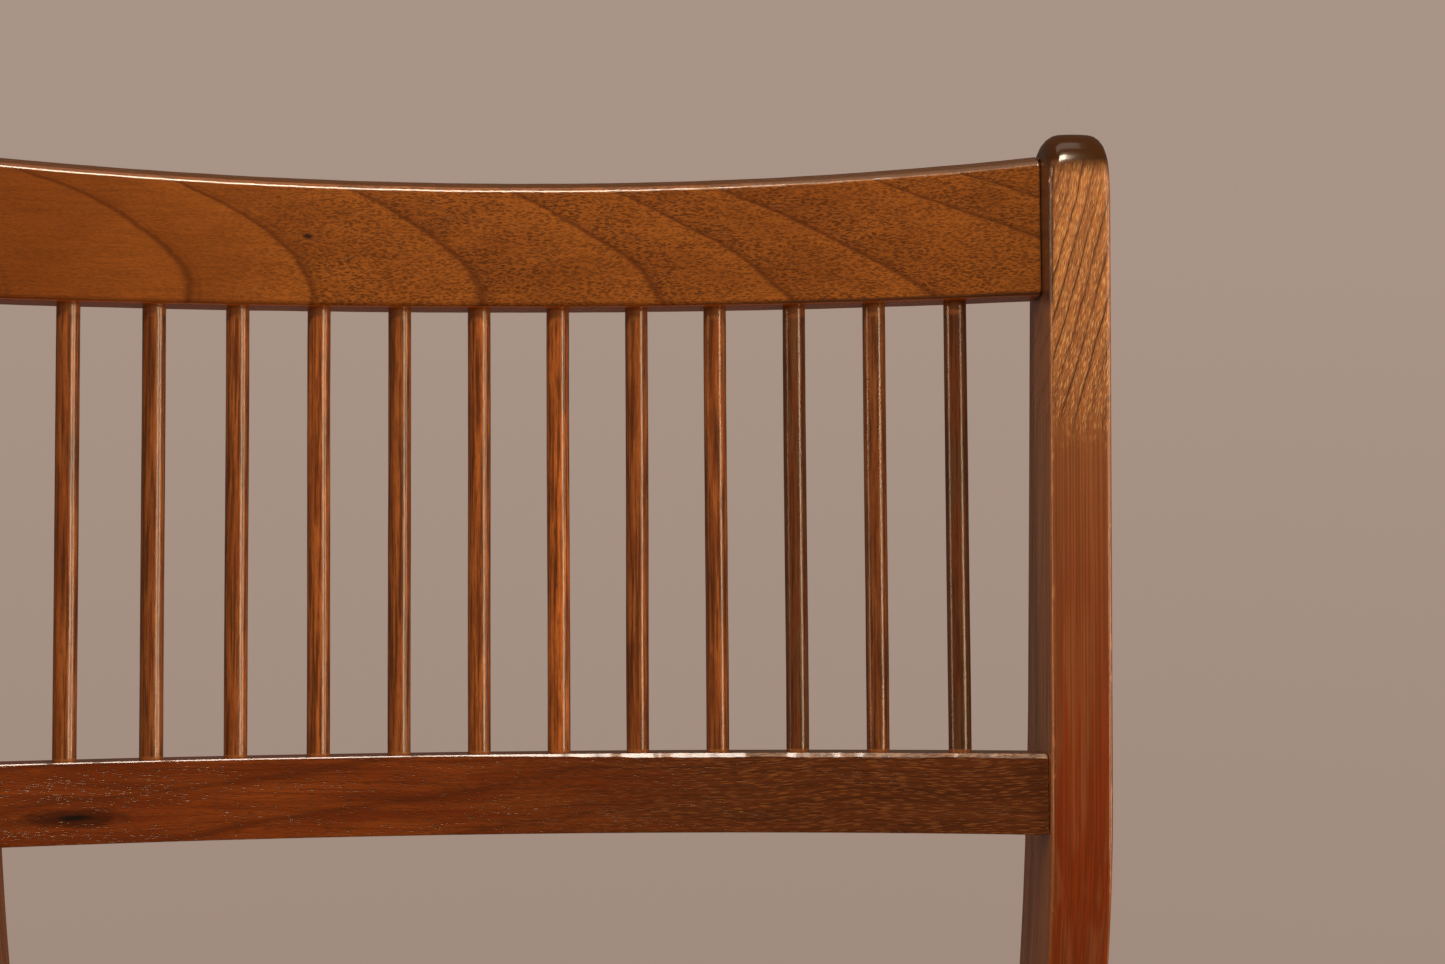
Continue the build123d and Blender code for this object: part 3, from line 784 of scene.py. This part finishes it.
def plane_unevenly(shape):
    """Moves the planed arris as by hand: wider to the right, and ragged along its foot."""
    narrow, wide = lower_planed_widths
    for v in shape.verts:
        behind = behind_front(v.co)
        if v.co.z > lower_top - lower_planing - 0.0001 and behind < lower_planing + 0.0001:
            blend = min(max((v.co.x + 0.02) / 0.07, 0.0), 1.0)
            width = blend * (wide - narrow) + narrow
            ragged = 1 + lower_ragged * noise.noise(v.co * 260.0)
            ragged += lower_ragged * noise.noise(v.co * 60.0)
            if behind < 0.0003:
                v.co.z -= lower_planing * (1.35 * width * ragged - 1)
            else:
                out = (v.co.xy - bow_centre.xy).normalized()
                v.co.xy -= out * lower_planing * (1 - 0.68 * width)
        v.co.y += lower_waver * noise.noise(v.co * 150.0 + Vector((3.0, 0.0, 0.0)))


def keep_planing_crisp(shape):
    """Marks the edges of the planed arris as sharp, so that it shades as a flat."""
    for edge in shape.edges:
        foot = min(v.co.z for v in edge.verts)
        behind = max(behind_front(v.co) for v in edge.verts)
        if foot > lower_top - 2.2 * lower_planing and behind < 1.2 * lower_planing:
            if len(edge.link_faces) == 2 and edge.calc_face_angle() > radians(8):
                edge.smooth = False


shape = bowed_bar(0.0, lower_top)
ease_along(shape, lambda across: lower_top, 0.0, lower_planing, 1)
ease_along(shape, lambda across: lower_top, rail_thickness, lower_arris, 2)
ease_along(shape, lambda across: 0.0, 0.0, lower_arris, 2)
ease_along(shape, lambda across: 0.0, rail_thickness, lower_arris, 2)
ease_ends(shape, lower_arris)
plane_unevenly(shape)
keep_planing_crisp(shape)
bmesh.ops.transform(shape, matrix=in_back(back_origin), verts=shape.verts[:])
lower_rail = finished_piece("bowed_lower_rail", shape, lower_rail_wood())
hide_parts("lower_back_rail")
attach(lower_rail, "root")

# Spindles: twelve plain dowels, worked by hand so that none is quite true, and glued
# into bored sockets in both rails. The varnish is glossy and pools at their ends.
spindle_count = 12
spindle_pitch = 0.0303
spindle_radius = 0.00435
spindle_sides = 36
spindle_cuts = 40
spindle_let_in = 0.003
spindle_swell = 0.012
spindle_facets = 0.006
spindle_bend = 0.00025
spindle_fibre = (0.0045, 0.00030)
spindle_streak = (0.040, 0.0011)
spindle_cloud = (0.030, 0.0040)
spindle_relief = 0.00008
spindle_coat = (0.30, 0.07)
spindle_gloss = 0.60
spindle_tones = (0.50, 0.42, 0.58, 0.72, 0.54, 0.70, 0.96, 0.55, 0.60, 0.12, 0.34, 0.04)
spindle_light = (0.440, 0.110, 0.0170)
spindle_deep = (0.120, 0.021, 0.0034)
spindle_grey = (0.065, 0.027, 0.0105)
spindle_dark = (0.034, 0.009, 0.003)
spindle_end_tone = (0.34, 0.105, 0.026)


def spindle_wood():
    """Coppery straight-grained dowel wood whose tone changes from one spindle to the next."""
    material, places = new_material("spindle_wood", back_turn, back_origin)
    along, depth, height = apart(places)
    upright = joined(height, depth, along)

    row = (along + spindle_count / 2 * spindle_pitch) / (spindle_count * spindle_pitch)
    stops = [(index / spindle_count, tone) for index, tone in enumerate(spindle_tones)]
    tone = ramp(row, *stops, interpolation="CONSTANT")
    cloud = grain(upright, spindle_cloud, distortion=0.5)
    streak = grain(upright, spindle_streak, detail=4.0, roughness=0.6)
    fibre = grain(upright, spindle_fibre, roughness=0.65)
    top_end = fade(height, crest_foot - 0.0050, 0.0020)
    foot_end = fade(height, lower_top + 0.0015, -0.0008)

    base = mix(tone, spindle_grey, spindle_light)
    base = lay(base, spindle_deep, contrast(cloud, 0.38, 0.64), 0.6)
    base = lay(base, spindle_dark, contrast(streak, 0.42, 0.62), 0.75)
    base = lay(base, spindle_dark, contrast(fibre, 0.48, 0.66), 0.50)
    base = lay(base, spindle_end_tone, calc("MAXIMUM", top_end, foot_end), 0.55)
    rough = fibre * 0.14 + 0.10
    varnish(material, base, fibre, spindle_relief, rough, spindle_coat, spindle_gloss)
    return material


def dowel(index):
    """One spindle, square to the axes: a slightly swelling, faceted and bent dowel."""
    across = (index - (spindle_count - 1) / 2) * spindle_pitch
    depth = bow_centre.y + ((bow_radius + rail_thickness / 2) ** 2 - across**2) ** 0.5
    foot = lower_top - spindle_let_in
    length = crest_foot + spindle_let_in - foot
    shape = bmesh.new()
    bmesh.ops.create_cone(
        shape,
        cap_ends=True,
        segments=spindle_sides,
        radius1=spindle_radius,
        radius2=spindle_radius,
        depth=length,
        matrix=Matrix.Translation((across, depth, foot + length / 2)),
    )
    upright_edges = [e for e in shape.edges if abs(e.verts[0].co.z - e.verts[1].co.z) > 0.1]
    bmesh.ops.subdivide_edges(shape, edges=upright_edges, cuts=spindle_cuts, use_grid_fill=True)
    for v in shape.verts:
        out = Vector((v.co.x - across, v.co.y - depth, 0.0))
        slow = Vector((index * 7.0, 0.0, v.co.z * 40.0))
        quick = Vector((index * 7.0 + out.x * 900.0, out.y * 900.0, v.co.z * 160.0))
        swell = spindle_swell * noise.noise(slow) + spindle_facets * noise.noise(quick)
        v.co += out * swell
        v.co.x += spindle_bend * noise.noise(Vector((index * 3.0, 9.0, v.co.z * 9.0)))
    return shape


spindle_finish = spindle_wood()
for index in range(spindle_count):
    shape = dowel(index)
    bmesh.ops.transform(shape, matrix=in_back(back_origin), verts=shape.verts[:])
    spindle = finished_piece(f"dowel_{index + 1:02d}", shape, spindle_finish, weighted=False)
    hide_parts(f"spindle_{index + 1:02d}")
    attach(spindle, "root")

# Seat board: boards glued edge to edge, cut to a bowed front, dished and notched round
# the posts, then varnished like the rest. It hides the frame of aprons below it.
seat_ring_pitch = 0.024
seat_rough = 0.50
board_wander = (0.35, 0.05)
board_cloud = (0.12, 0.015)
board_fibre = (0.040, 0.0009)
board_pores = (0.0040, 0.00045)
board_rub = (0.02, 0.004)
board_relief = 0.0003
board_coat = (0.06, 0.25)
board_gloss = 0.26
board_rough = 0.47
board_light = (0.270, 0.085, 0.018)
board_deep = (0.150, 0.040, 0.0085)
board_dark = (0.050, 0.015, 0.0045)
board_tones = (board_light, board_deep, board_dark)


def board_wood(name, turn, pitch, tones=board_tones, roughness=board_rough, coat=board_coat):
    """Straight-grained board wood for the pieces that hang together below the back."""
    light, deep, dark = tones
    material, places = new_material(name, turn)
    side, height = apart(places)[1:]
    wander = grain(places, board_wander, detail=2.0)
    ring = through_ring(wander * 0.060 + (height * 0.8 + side), pitch)
    line = ramp(ring, (0.0, 0.6), (0.15, 0.2), (0.55, 0.0), (0.90, 0.15), (0.97, 1.0))
    cloud = grain(places, board_cloud, distortion=0.5)
    fibre = grain(places, board_fibre, detail=4.0, roughness=0.65)
    pores = contrast(grain(places, board_pores, detail=2.0), 0.52, 0.66)
    pore_amount = pores * (line * 0.35 + 0.35)

    base = mix(ramp(cloud, (0.35, 0.0), (0.68, 0.9)), light, deep)
    base = lay(base, dark, line, 0.55)
    base = lay(base, dark, contrast(fibre, 0.40, 0.68), 0.40)
    base = mix(pore_amount, base, dark)
    wear = contrast(arris_wear(material, turn), 0.06, 0.26)
    rub = contrast(grain(places, board_rub, detail=4.0), 0.50, 0.68)
    base = lay(base, light, wear * rub, 0.45)
    relief = fibre * 0.4 - pore_amount
    rough = pore_amount * 0.30 + roughness
    varnish(material, base, relief, board_relief, rough, coat, board_gloss)
    return material


def finish_node(node, material):
    """Gives a solid of the chair's frame, which shows as it is, its material."""
    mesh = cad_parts[node].data
    for slot in range(len(mesh.materials)):
        mesh.materials[slot] = material


seat_finish = board_wood("seat_wood", grain_across, seat_ring_pitch, roughness=seat_rough)
finish_node("seat_board", seat_finish)

# Front and rear apron, cross and rear stretcher: the bars that run across the chair,
# tenoned at both ends, straight-grained along their length and varnished all over.
bar_ring_pitch = 0.011
cross_finish = board_wood("cross_bar_wood", grain_across, bar_ring_pitch)
for node in ("front_apron", "rear_apron", "cross_stretcher", "rear_stretcher"):
    finish_node(node, cross_finish)

# Side aprons and stretchers: the bars that run from the front legs back to the posts,
# of the same wood and made and tenoned the same way, with their grain front to back.
along_the_chair = (0.0, 0.0, radians(90))
side_finish = board_wood("side_bar_wood", along_the_chair, bar_ring_pitch)
for node in ("side_apron_left", "side_apron_right", "side_stretcher_left", "side_stretcher_right"):
    finish_node(node, side_finish)

# Front legs: square at the top, where the aprons are tenoned in, and tapered below on
# the inner faces. They are sawn from one piece each, with upright grain.
leg_ring_pitch = 0.009
leg_finish = board_wood("leg_wood", grain_upright, leg_ring_pitch)
for node in ("front_leg_left", "front_leg_right"):
    finish_node(node, leg_finish)

# Corner blocks: offcuts glued into the corners under the seat, where nobody sees them,
# so they are left as they came off the saw, without varnish.
block_grain = (0.0, 0.0, radians(45))
block_ring_pitch = 0.007
block_rough = 0.62
bare_light = (0.48, 0.30, 0.15)
bare_deep = (0.34, 0.19, 0.085)
bare_dark = (0.16, 0.080, 0.035)
bare_tones = (bare_light, bare_deep, bare_dark)
no_coat = (0.0, 0.25)
block_finish = board_wood(
    "bare_block_wood", block_grain, block_ring_pitch, bare_tones, block_rough, no_coat
)
for end in ("front", "rear"):
    for side in ("left", "right"):
        finish_node(f"corner_block_{end}_{side}", block_finish)

# Screws: slotted round-head steel screws, two through each corner block into the wood
# behind it and one up into the seat. Their heads are pressed from wire and have dulled.
screw_head_radius = 0.0039
screw_dome = 0.0024
screw_shank_radius = 0.0019
screw_shank_end = -0.0080
screw_point = -0.0105
screw_slot_width = 0.0010
screw_slot_depth = 0.0013
screw_set_back = 0.009
screw_places = ((0.24, 0.40), (0.76, 0.62))
screw_rust = (0.0016, 0.0012)
screw_scratches = (0.0030, 0.00025)
steel_light = (0.42, 0.40, 0.37)
steel_dark = (0.24, 0.22, 0.20)
rust_tone = (0.13, 0.055, 0.024)


def screw_steel():
    """Dulled steel with fine turning marks, brown in the hollows."""
    material, places = new_material("screw_steel", grain_across)
    rust = contrast(grain(places, screw_rust, detail=4.0), 0.46, 0.66)
    scratch = grain(places, screw_scratches)
    base = lay(steel_light, steel_dark, scratch, 0.5)
    base = lay(base, rust_tone, rust, 0.75)
    tree = material.node_tree
    bump = add_node(tree, "Bump", {"Height": scratch, "Strength": 0.5, "Distance": 0.0001})
    inputs = {
        "Base Color": base,
        "Metallic": 1.0 - rust * 0.7,
        "Roughness": rust * 0.35 + 0.32,
        "Normal": bump.outputs[0],
    }
    steel = add_node(tree, "BsdfPrincipled", inputs)
    add_node(tree, "OutputMaterial", {"Surface": steel.outputs[0]})
    return material


def round_head_screw(place, facing_out, slot_turn):
    """A domed head with a slot, on a short length of shank that stands in the wood."""
    outline = (
        # radius and height of each corner, from the top of the head to the point
        (0.0, screw_dome),
        (screw_head_radius * 0.50, screw_dome * 0.88),
        (screw_head_radius * 0.86, screw_dome * 0.50),
        (screw_head_radius, 0.0),
        (screw_shank_radius, 0.0),
        (screw_shank_radius, screw_shank_end),
        (0.0, screw_point),
    )
    shape = bmesh.new()
    corners = [shape.verts.new((radius, 0.0, height)) for radius, height in outline]
    for pair in zip(corners, corners[1:]):
        shape.edges.new(pair)
    ease(shape, corners[1:3], 0.0005, 3, affect="VERTICES")
    bmesh.ops.spin(
        shape,
        geom=shape.verts[:] + shape.edges[:],
        axis=(0, 0, 1),
        cent=(0, 0, 0),
        angle=radians(360),
        steps=28,
        use_merge=True,
    )
    bmesh.ops.remove_doubles(shape, verts=shape.verts[:], dist=1e-6)
    for side in (-1, 1):
        whole = shape.verts[:] + shape.edges[:] + shape.faces[:]
        cut_place = (0.0, side * screw_slot_width / 2, 0.0)
        bmesh.ops.bisect_plane(shape, geom=whole, plane_co=cut_place, plane_no=(0.0, side, 0.0))
    slot = []
    for face in shape.faces:
        middle = face.calc_center_median()
        if abs(middle.y) < screw_slot_width / 2 and middle.z > 0.0003:
            slot.append(face)
    grown = bmesh.ops.extrude_face_region(shape, geom=slot)
    bmesh.ops.delete(shape, geom=[f for f in slot if f.is_valid], context="FACES")
    for v in [g for g in grown["geom"] if isinstance(g, bmesh.types.BMVert)]:
        v.co.z = screw_dome - screw_slot_depth
    bmesh.ops.recalc_face_normals(shape, faces=shape.faces[:])
    turn = Vector(facing_out).to_track_quat("Z", "X").to_matrix().to_4x4()
    turn = Matrix.Translation(place) @ turn @ Matrix.Rotation(slot_turn, 4, "Z")
    bmesh.ops.transform(shape, matrix=turn, verts=shape.verts[:])
    return shape


screw_finish = screw_steel()
for end in ("front", "rear"):
    for side in ("left", "right"):
        low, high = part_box(f"corner_block_{end}_{side}")
        outer, inner = (low.x, high.x) if side == "left" else (high.x, low.x)
        near, far = (low.y, high.y) if end == "front" else (high.y, low.y)
        start = Vector((inner, near, 0.0))
        run = Vector((outer, far, 0.0)) - start
        inward = Vector((-run.y, run.x, 0.0)).normalized()
        if inward.x * inner > 0:
            inward = -inward
        for number, (share, level) in enumerate(screw_places):
            place = start + run * share
            place.z = low.z + (high.z - low.z) * level
            shape = round_head_screw(place, inward, number * 1.3 + len(end) * 0.4)
            name = f"apron_screw_{end}_{side}_{number + 1}"
            screw = finished_piece(name, shape, screw_finish)
            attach(screw, "root")
        place = start + run * 0.5 - inward * screw_set_back
        place.z = low.z
        shape = round_head_screw(place, (0.0, 0.0, -1.0), len(side) * 0.5 + len(end))
        screw = finished_piece(f"seat_screw_{end}_{side}", shape, screw_finish)
        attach(screw, "root")

# Floor: a plain pale painted floor that fades into the backdrop. It is clear from
# below, so that the chair can be seen from underneath.
floor_radius = 1.12
floor_flecks = (0.02, 0.02)
floor_light = (0.350, 0.285, 0.240)
floor_dark = (0.315, 0.255, 0.215)


def floor_paint():
    """Matt paint that thins to nothing towards the floor's rim."""
    material, places = new_material("floor_paint", grain_across)
    reach = Number(vector_calc("LENGTH", places)["Value"])
    rim = contrast(reach / floor_radius, 0.55, 0.98)
    colour = lay(floor_light, floor_dark, grain(places, floor_flecks), 0.12)
    tree = material.node_tree
    paint = add_node(tree, "BsdfPrincipled", {"Base Color": colour, "Roughness": 0.7})
    clear = add_node(tree, "BsdfTransparent")
    below = add_node(tree, "NewGeometry").outputs["Backfacing"]
    inputs = {0: calc("MAXIMUM", rim, below), 1: paint.outputs[0], 2: clear.outputs[0]}
    surface = add_node(tree, "MixShader", inputs)
    add_node(tree, "OutputMaterial", {"Surface": surface.outputs[0]})
    return material


shape = bmesh.new()
bmesh.ops.create_circle(shape, cap_ends=True, segments=96, radius=floor_radius)
floor = finished_piece("floor", shape, floor_paint(), weighted=False)

# Room: the plain painted wall behind the chair, a little darker towards its foot. The
# camera sees it at full strength. Its light on the chair is weaker, and its mirror
# image in the varnish weaker still, or it would lie over the wood as a milky veil.
wall_colour = (0.395, 0.296, 0.240)
wall_foot_colour = (0.335, 0.245, 0.196)
wall_foot_from = -0.08
wall_foot_rate = 2.2
wall_mirrored = 0.20
fill_colour = (1.0, 0.95, 0.88, 1.0)
fill_strength = 0.30

world = bpy.data.worlds.new("plain_room")
bpy.context.scene.world = world
world.use_nodes = True
room = world.node_tree
room.nodes.clear()
path = add_node(room, "LightPath").outputs
upward = apart(add_node(room, "TexCoord").outputs["Generated"])[2]
fall = calc("MULTIPLY", wall_foot_from - upward, wall_foot_rate, clamp=True)
wall = mix(fall, wall_colour, wall_foot_colour)
seen, fill, mirrored = (
    add_node(room, "Background", {"Color": colour, "Strength": strength}).outputs[0]
    for colour, strength in ((wall, 1.0), (fill_colour, fill_strength), (wall, wall_mirrored))
)
shown = calc("MAXIMUM", Number(path["Is Camera Ray"]), path["Is Transmission Ray"])
either = add_node(room, "MixShader", {0: path["Is Glossy Ray"], 1: fill, 2: mirrored}).outputs[0]
either = add_node(room, "MixShader", {0: shown, 1: either, 2: seen}).outputs[0]
add_node(room, "OutputWorld", {"Surface": either})

# Lights: six soft panels. One hangs high in front and a faint one above the back, a
# tall narrow one stands at the left and two at the right, which draw the long streaks
# in the varnish, and a large one behind lights the back but shows in no reflection.
back_middle = (0.0, 0.17, 0.65)
front_colour = (1.0, 0.93, 0.83)
pale_colour = (1.0, 0.96, 0.90)
strip_colour = (1.0, 0.84, 0.64)
panels = (
    # name, place, what it faces, width, height, power and colour
    ("front_light", (0.10, -0.68, 2.15), back_middle, 0.52, 0.42, 32, front_colour),
    ("top_light", (0.03, 0.33, 1.95), (0.03, 0.33, 0.7), 0.9, 0.5, 2, pale_colour),
    ("left_light", (-2.30, 0.10, 0.80), back_middle, 0.50, 1.8, 26, strip_colour),
    ("right_light", (2.20, -0.18, 0.80), back_middle, 0.40, 1.8, 20, strip_colour),
    ("near_right_light", (1.90, -1.25, 0.85), back_middle, 0.32, 1.6, 20, strip_colour),
    ("rear_light", (0.0, 2.00, 1.70), (0.0, 0.20, 0.60), 1.2, 0.9, 30, pale_colour),
)
for name, place, aim, width, height, power, colour in panels:
    light = bpy.data.lights.new(name, "AREA")
    light.shape = "RECTANGLE"
    light.size = width
    light.size_y = height
    light.energy = power
    light.color = colour
    lamp = bpy.data.objects.new(name, light)
    bpy.context.collection.objects.link(lamp)
    lamp.location = place
    lamp.rotation_euler = (Vector(aim) - Vector(place)).to_track_quat("-Z", "Y").to_euler()
    lamp.visible_glossy = name != "rear_light"

# Camera: in front of the chair at the height of the back's top, square to the leaning
# back at first, then panned, tilted and rolled a little.
camera_place = (0.0293, -0.6252, 0.8007)
camera_pan = radians(3.32)
camera_tilt = radians(2.98)
camera_roll = radians(-0.38)
eye = bpy.data.cameras.new("camera")
eye.sensor_width = 36.0
eye.lens = 54.81
eye.clip_start = 0.01
camera = bpy.data.objects.new("camera", eye)
bpy.context.collection.objects.link(camera)
turn = Matrix.Rotation(radians(90) - back_lean, 3, "X") @ Matrix.Rotation(-camera_pan, 3, "Y")
turn = turn @ Matrix.Rotation(camera_tilt, 3, "X") @ Matrix.Rotation(camera_roll, 3, "Z")
camera.rotation_euler = turn.to_euler()
camera.location = camera_place
bpy.context.scene.camera = camera
bpy.context.scene.view_settings.view_transform = "Standard"

bpy.context.view_layer.update()
